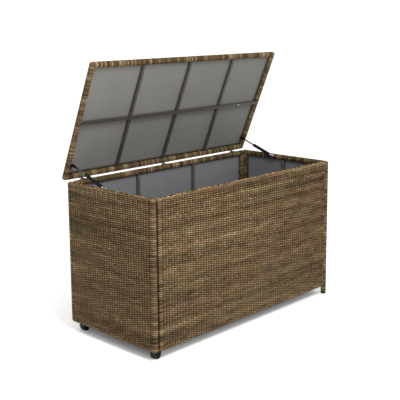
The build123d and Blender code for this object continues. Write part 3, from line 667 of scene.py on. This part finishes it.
def add_post_rings(strands, panel, side, low, high, tones):
    """Rings round a post where no weaver reaches it: at the rails and down the legs."""
    rings = max(1, round((high - low) / strand_pitch))
    pitch = (high - low) / rings
    for ring in range(rings):
        y = low + (ring + 0.5) * pitch
        radius = ring_r + rng.uniform(-0.00012, 0.00005)
        centres, outward = circle_path(side * panel.post, y, (side, 0), -180, 180, 19, radius)
        across = np.tile([0.0, 1.0, 0.0], (19, 1))
        tone = tones[ring % len(tones)]
        # Painted shade: every other ring is painted darker.
        painted_shade = 0.35 + 0.3 * (ring % 2)
        shape = strand_shape(strand_half)
        add_strand(strands, panel, centres, across, outward, shape, tone, 0.45, painted_shade)


def add_corner_fan(strands, panel, side, corner_y, towards):
    """Strands that fan round the outside of a rim corner, from face to back."""
    count = 6
    for index in range(count):
        angle = (index + 0.5) / count * pi / 2
        direction = (side * cos(angle), towards * sin(angle))
        centres, outward = circle_path(side * panel.post, corner_y, direction, 88, -88, 13, ring_r)
        sideways = np.array([-direction[1], direction[0], 0.0])
        across = np.tile(sideways, (13, 1))
        narrow = np.clip(np.cos(np.radians(np.linspace(88, -88, 13))), 0.25, 1)
        shaped = across * narrow[:, None]
        lift = 0.00018 * (index % 2)
        centres = centres + outward * lift
        tone = rng.uniform(0.3, 0.7)
        shape = strand_shape(strand_half)
        # The fixed 0.3 is painted shade on the fan.
        add_strand(strands, panel, centres, shaped, outward, shape, tone, 0.5, 0.3)


def mixed_tones(count, run):
    """Tones of a row of turns: three strand colours in short runs, with a slow drift."""
    picks = []
    while len(picks) < count:
        tone = turn_tones[rng.choice(3, p=turn_shares)]
        picks += [tone] * int(rng.integers(1, int(run) + 1))
    tones = np.array(picks[:count]) + rng.normal(0, 0.08, count) + wander(count, 6, 0.08)
    return np.clip(tones, 0.02, 0.98)


def make_woven(panel, leg_low=None):
    """All the strands of one panel."""
    weave_field(panel, leg_low)
    rim = Strands()
    add_stakes(rim, panel)
    top = panel.height - wrap_r
    for rail_y, towards in ((wrap_r, -1), (top, 1)):
        add_rail_wrap(rim, panel, rail_y, towards)
    for side in (-1, 1):
        add_corner_fan(rim, panel, side, top, 1)
        if leg_low is None:
            add_corner_fan(rim, panel, side, wrap_r, -1)
        else:
            leg_tones = mixed_tones(20, 2.0)
            add_post_rings(rim, panel, side, leg_low, wrap_r - 0.009, leg_tones)
    piece = rim.build(f"{panel.name}_rim_strands", panel.body, wicker)
    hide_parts(f"{panel.name}_weave")


# ---------------------------------------------------------------- liners


def make_liner(panel, material, relief):
    """The fabric liner of a panel: a stretched sheet with a flattened hem."""
    half = panel.width / 2 - liner_edge
    low = liner_edge
    high = panel.height - liner_edge
    columns = int(2 * half / 0.02)
    rows = int((high - low) / 0.02)
    u = np.linspace(-half, half, columns + 1)
    v = np.linspace(low, high, rows + 1)
    grid_u, grid_v = np.meshgrid(u, v)
    height = np.zeros_like(grid_u)
    for _ in range(9):
        direction = rng.uniform(0, pi)
        wave = rng.uniform(5, 26)
        phase = rng.uniform(0, 2 * pi)
        height += np.sin(wave * (grid_u * cos(direction) + grid_v * sin(direction)) + phase) / wave**0.5
    edge = np.minimum.reduce([grid_u + half, half - grid_u, grid_v - low, high - grid_v])
    height *= np.clip(edge / 0.08, 0, 1)
    height *= relief / np.abs(height).max()
    hem = np.exp(-(((edge - 0.012) / 0.004) ** 2)) * 0.0003
    grid_z = liner_z - height - hem
    points = np.stack([grid_u, grid_v, grid_z], axis=-1).reshape(-1, 3)
    index = np.arange(len(points)).reshape(rows + 1, columns + 1)
    faces = np.stack([index[:-1, :-1], index[:-1, 1:], index[1:, 1:], index[1:, :-1]], axis=-1)
    mesh = bpy.data.meshes.new(f"{panel.name}_liner_cloth")
    mesh.from_pydata(panel.place(points).tolist(), [], faces.reshape(-1, 4).tolist())
    mesh.polygons.foreach_set("use_smooth", np.ones(len(mesh.polygons), bool))
    mesh.materials.append(material)
    piece = link(f"{panel.name}_liner_cloth", mesh, panel.body)
    solid = piece.modifiers.new("thickness", "SOLIDIFY")
    solid.thickness = 0.0009
    solid.offset = 0
    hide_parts(f"{panel.name}_liner")


# ---------------------------------------------------------------- studio


def make_floor():
    """A large pale floor that runs out past the view on all sides."""
    size = 40.0
    count = 24
    line = np.linspace(-size, size, count + 1)
    grid_x, grid_y = np.meshgrid(line, line)
    points = np.stack([grid_x, grid_y, np.zeros_like(grid_x)], axis=-1).reshape(-1, 3)
    index = np.arange(len(points)).reshape(count + 1, count + 1)
    faces = np.stack([index[:-1, :-1], index[:-1, 1:], index[1:, 1:], index[1:, :-1]], axis=-1)
    mesh = bpy.data.meshes.new("floor")
    mesh.from_pydata(points.tolist(), [], faces.reshape(-1, 4).tolist())
    material, _, _, shader = new_material("studio_floor")
    shader.inputs["Base Color"].default_value = (0.93, 0.93, 0.93, 1)
    shader.inputs["Roughness"].default_value = 0.9
    shader.inputs["Specular IOR Level"].default_value = 0.1
    mesh.materials.append(material)
    floor = bpy.data.objects.new("floor", mesh)
    bpy.context.scene.collection.objects.link(floor)


def area_light(name, place, target, size, power, colour=(1, 1, 1)):
    """A square soft light that looks at a target."""
    data = bpy.data.lights.new(name, "AREA")
    data.shape = "SQUARE"
    data.size = size
    data.energy = power
    data.color = colour
    lamp = bpy.data.objects.new(name, data)
    lamp.location = place
    direction = Vector(target) - Vector(place)
    lamp.rotation_euler = direction.to_track_quat("-Z", "Y").to_euler()
    bpy.context.scene.collection.objects.link(lamp)


def make_lights():
    """An even white surround, a key light high at the front left, and a weaker fill below it."""
    world = bpy.data.worlds.new("studio")
    world.use_nodes = True
    background = world.node_tree.nodes["Background"]
    background.inputs["Color"].default_value = (1, 1, 1, 1)
    background.inputs["Strength"].default_value = 2.6
    bpy.context.scene.world = world
    area_light("key", (-1.1, -2.3, 3.1), (0, 0, 0.5), 1.1, 200)
    area_light("fill", (-1.0, -2.3, 1.2), (-0.6, 0, 0.5), 0.8, 34)


def make_camera():
    """The view of the photograph: from the front left, a little above the box."""
    place = Vector((-3.787, -3.604, 1.916))
    yaw = radians(46.19)
    pitch = radians(9.88)
    roll = radians(-0.40)
    forward = Vector((sin(yaw) * cos(pitch), cos(yaw) * cos(pitch), -sin(pitch)))
    level = Vector((cos(yaw), -sin(yaw), 0))
    upright = level.cross(forward)
    right = level * cos(roll) + upright * sin(roll)
    top = upright * cos(roll) - level * sin(roll)
    data = bpy.data.cameras.new("camera")
    data.sensor_width = 36
    data.lens = 74.4
    data.shift_y = -0.10
    camera = bpy.data.objects.new("camera", data)
    turn = Matrix((right, top, -forward)).transposed()
    camera.matrix_world = Matrix.Translation(place) @ turn.to_4x4()
    bpy.context.scene.collection.objects.link(camera)
    bpy.context.scene.camera = camera


paint_cad()
for wall in wall_panels():
    feet = foot_height + 0.0005 - wall.origin[2]
    make_woven(wall, feet if wall.name == "right" else None)
    make_liner(wall, wall_cloth, 0.0006)
lid = lid_panel()
make_woven(lid)
make_liner(lid, lid_cloth, 0.0006)
make_floor()
make_lights()
make_camera()
bpy.context.scene.view_settings.view_transform = "Standard"
bpy.context.scene.view_settings.exposure = -1.0
